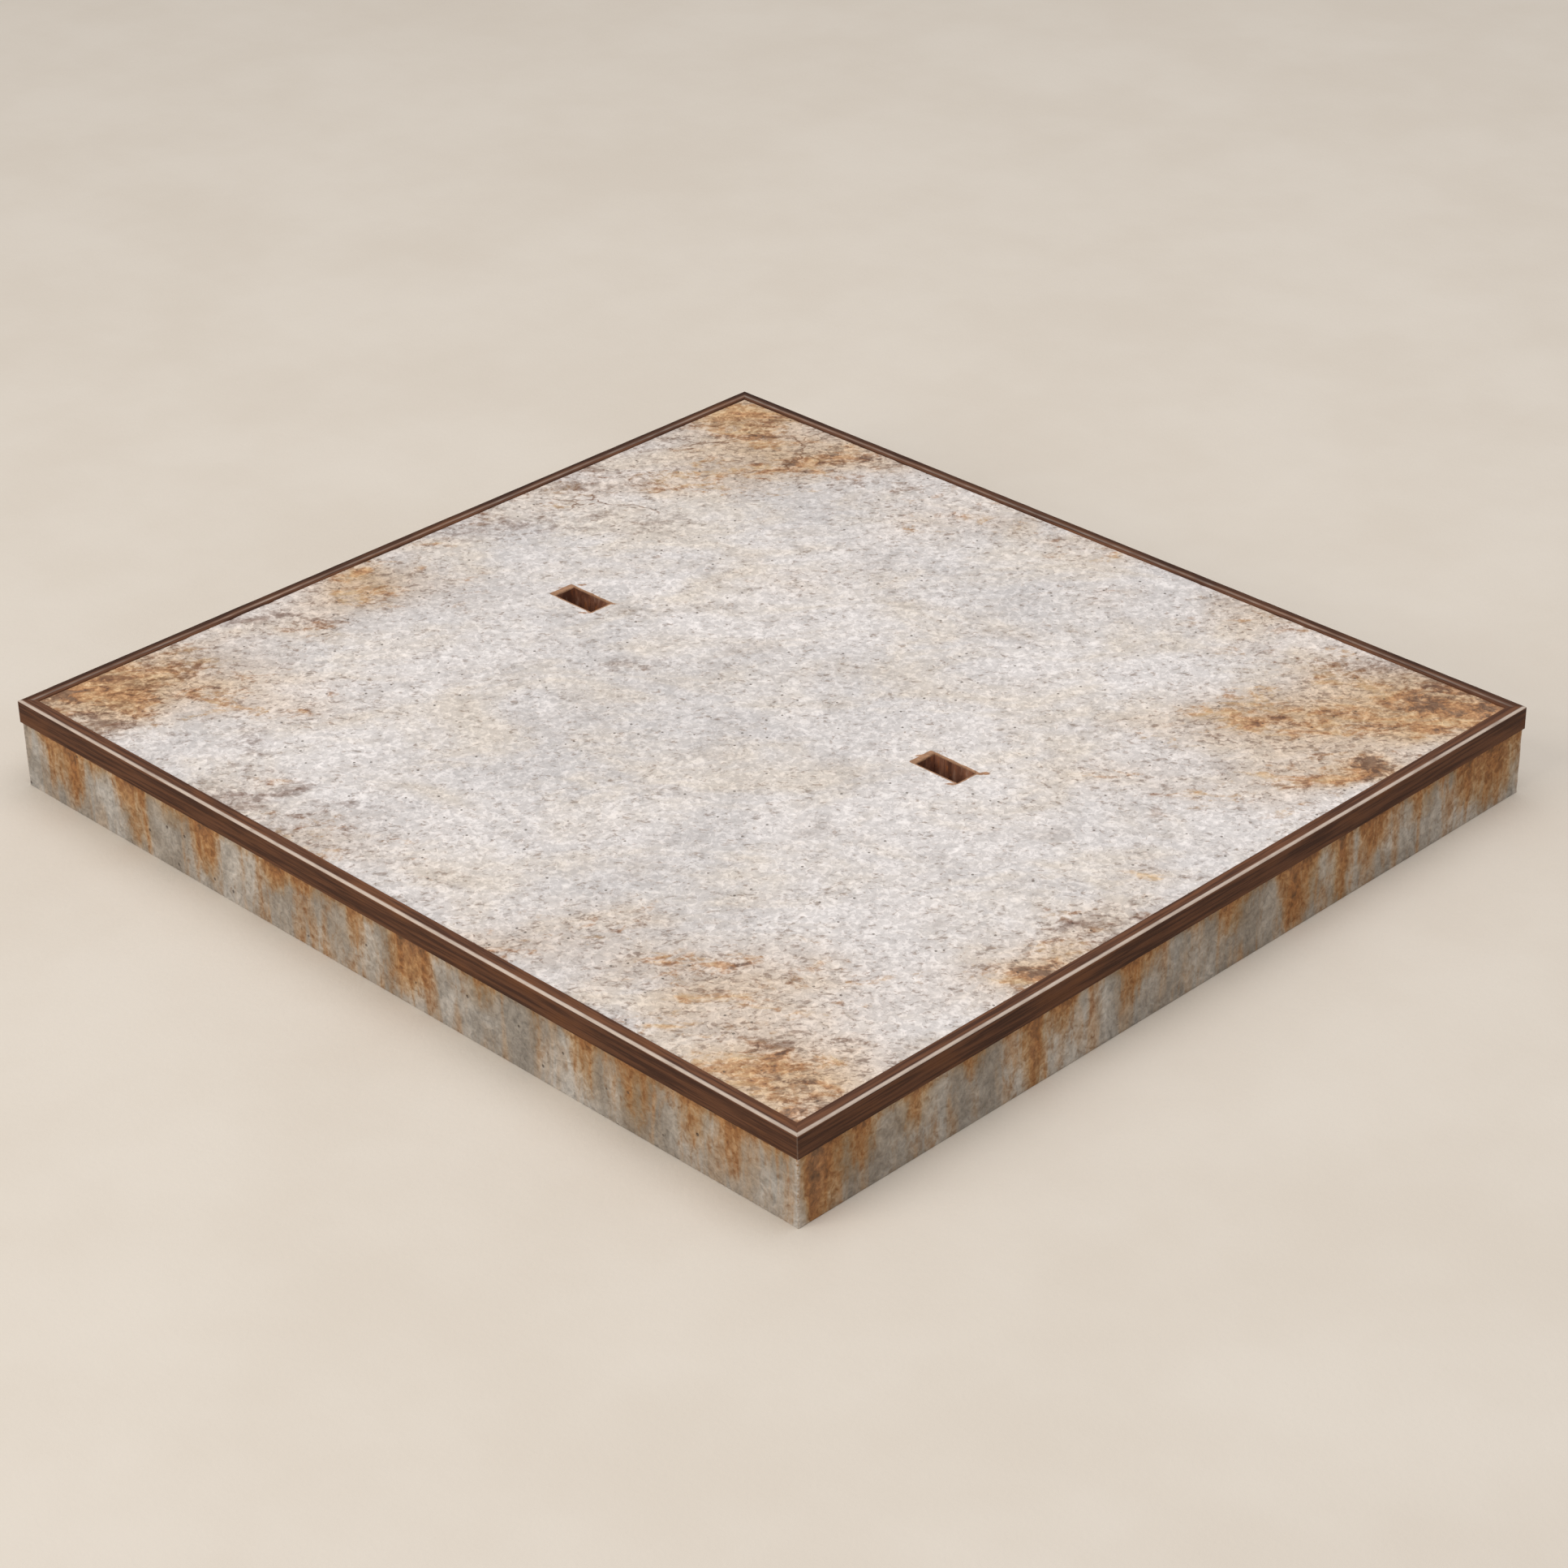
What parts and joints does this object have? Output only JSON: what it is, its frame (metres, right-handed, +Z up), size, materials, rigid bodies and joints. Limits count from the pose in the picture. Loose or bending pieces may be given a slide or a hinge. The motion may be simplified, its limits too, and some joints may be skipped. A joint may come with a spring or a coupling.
{
  "type": "manhole cover",
  "caption": "Rectangular precast concrete manhole cover with mitred steel edging and slotted lifting key boxes, lifted out of its frame by hand with T keys.",
  "frame": {"origin": "middle of the underside, on the surface that the cover lies on", "axes": "+X along the longer side and the line of the key slots, +Z up out of the walking surface"},
  "size_m": [0.7, 0.65, 0.062],
  "materials": {
    "concrete": "cast concrete, weathered, rust-stained",
    "edging": "rusted steel, worn bright on its arris",
    "key_steel": "rusted steel",
    "rebar": "mill scale with light rust",
    "mortar": "plain mortar"
  },
  "bodies": {
    "root": {"concrete_slab": "concrete", "edge_rail_front": "edging", "edge_rail_right": "edging", "edge_rail_rear": "edging", "edge_rail_left": "edging", "corner_welds": "edging", "edge_anchors_front": "rebar", "edge_anchors_right": "rebar", "edge_anchors_rear": "rebar", "edge_anchors_left": "rebar", "mat_long_bars": "rebar", "mat_cross_bars": "rebar", "bar_spacers": "mortar", "key_sleeve_left": "key_steel", "key_plate_left": "key_steel", "key_pan_left": "key_steel", "key_straps_left": "key_steel", "key_sleeve_right": "key_steel", "key_plate_right": "key_steel", "key_pan_right": "key_steel", "key_straps_right": "key_steel"}
  },
  "joints": []
}
